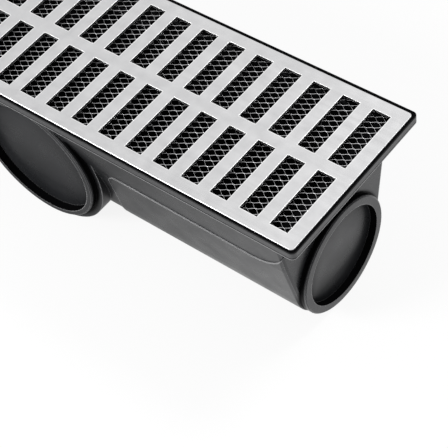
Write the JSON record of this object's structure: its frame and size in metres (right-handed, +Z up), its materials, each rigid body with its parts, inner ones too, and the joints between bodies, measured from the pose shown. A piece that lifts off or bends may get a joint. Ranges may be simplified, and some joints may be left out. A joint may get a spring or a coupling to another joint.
{
  "type": "linear drain with slotted grate",
  "caption": "Moulded drainage channel with round pipe outlets, a slotted steel grate set flush in its rim and a diamond mesh screen under the grate.",
  "frame": {"origin": "middle of the part's footprint, on the surface that it stands on", "axes": "+X along the channel, +Y across it, +Z up out of the grate"},
  "size_m": [0.4968, 0.1388, 0.133],
  "materials": {
    "channel_plastic": "dark satin moulded plastic",
    "grate_steel": "fine satin",
    "mesh_steel": "plain sheet, expanded"
  },
  "bodies": {
    "root": {"channel_body": "channel_plastic", "slotted_grate": "grate_steel", "mesh_screen": "mesh_steel"}
  },
  "joints": []
}
